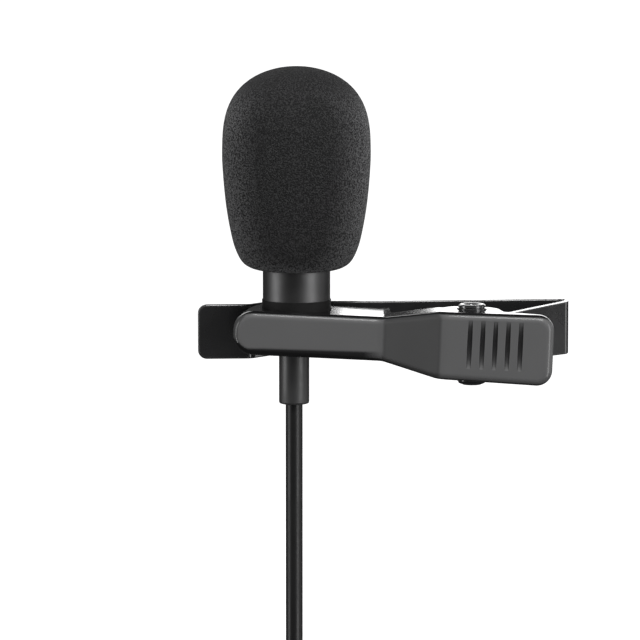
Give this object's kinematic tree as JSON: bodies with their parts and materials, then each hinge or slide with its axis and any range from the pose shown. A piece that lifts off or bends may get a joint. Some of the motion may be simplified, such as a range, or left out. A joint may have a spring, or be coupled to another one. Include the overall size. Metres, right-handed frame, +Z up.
{
  "type": "lavalier microphone",
  "caption": "Clip-on lavalier microphone with a foam windscreen, held in a sprung tie clip, with a thin lead and a jack plug.",
  "frame": {"origin": "in the plane where the clip's jaws close on cloth, level with the middle of the rear jaw and in line with the microphone's axis", "axes": "+X along the clip from the jaws to the thumb pads, -Y out of the clip's front, +Z up along the microphone"},
  "size_m": [0.046, 0.0207, 0.1608],
  "materials": {
    "clip_paint": "satin dark grey paint on stamped steel",
    "clip_gloss": "gloss black electro-coat on spring steel",
    "rivet_black": "black oxide, glossy",
    "nylon": "black nylon",
    "spring_steel": "drawn spring wire",
    "sleeve_rubber": "soft black rubber",
    "tube_black": "satin black anodised brass tube",
    "mesh_steel": "woven steel mesh",
    "bushing_plastic": "moulded black plastic",
    "relief_rubber": "moulded black rubber",
    "cable_jacket": "extruded soft PVC jacket, satin",
    "crimp_brass": "plain brass",
    "wire_red": "red insulation",
    "wire_white": "white insulation",
    "solder": "solder",
    "can_aluminium": "drawn aluminium can",
    "film": "metallised film",
    "board_green": "circuit board",
    "tie_strap": "woven hook and loop strap",
    "foam": "charcoal open-cell foam",
    "plug_metal": "gold plated brass",
    "insulator_black": "black insulator ring"
  },
  "bodies": {
    "front_clip": {"front_arm": "clip_paint", "pivot_rivet": "rivet_black", "rivet_washers": "nylon", "torsion_spring": "spring_steel", "holder_ring": "clip_gloss"},
    "rear_clip": {"back_arm": "clip_gloss"},
    "mic_sleeve": {"grip_sleeve": "sleeve_rubber"},
    "microphone": {"mic_tube": "tube_black", "tube_collar": "sleeve_rubber", "grille_cap": "tube_black", "grille_mesh": "mesh_steel", "rear_bushing": "bushing_plastic", "strain_relief": "relief_rubber", "cable_core": "cable_jacket", "cable_ferrule": "crimp_brass", "signal_wire": "wire_red", "ground_wire": "wire_white", "solder_joints": "solder", "electret_can": "can_aluminium", "isolator_ring": "sleeve_rubber", "diaphragm_ring": "crimp_brass", "diaphragm": "film", "diaphragm_spacer": "bushing_plastic", "back_electrode": "crimp_brass", "contact_ring": "crimp_brass", "jfet_board": "board_green", "cable": "cable_jacket", "cable_coil": "cable_jacket", "cable_tie": "tie_strap", "cable_tail": "cable_jacket", "plug_boot": "relief_rubber", "plug_housing": "tube_black", "plug_collar": "plug_metal", "plug_sleeve": "plug_metal", "plug_insulator_sleeve": "insulator_black", "plug_ring_ground": "plug_metal", "plug_insulator_ring": "insulator_black", "plug_ring_right": "plug_metal", "plug_insulator_tip": "insulator_black", "plug_tip": "plug_metal"},
    "windscreen": {"foam_windscreen": "foam"}
  },
  "joints": [
    {"name": "clip_hinge", "type": "hinge", "parent": "front_clip", "child": "rear_clip", "pos_m": [0.0214, -0.0112, 0], "axis": [0, 0, -1], "range_deg": [0, 24], "stiffness_Nm_per_rad": 0.08, "springref_deg": -40.11, "deforming": ["torsion_spring"]},
    {"name": "mic_swivel", "type": "hinge", "parent": "front_clip", "child": "mic_sleeve", "pos_m": [0, -0.00505, 0], "axis": [0, 0, 1], "continuous": true},
    {"name": "mic_slide", "type": "slide", "parent": "mic_sleeve", "child": "microphone", "axis": [0, 0, 1], "range_m": [0, 0.003]},
    {"name": "foam_slide", "type": "slide", "parent": "microphone", "child": "windscreen", "axis": [0, 0, 1], "range_m": [0, 0.008]}
  ]
}
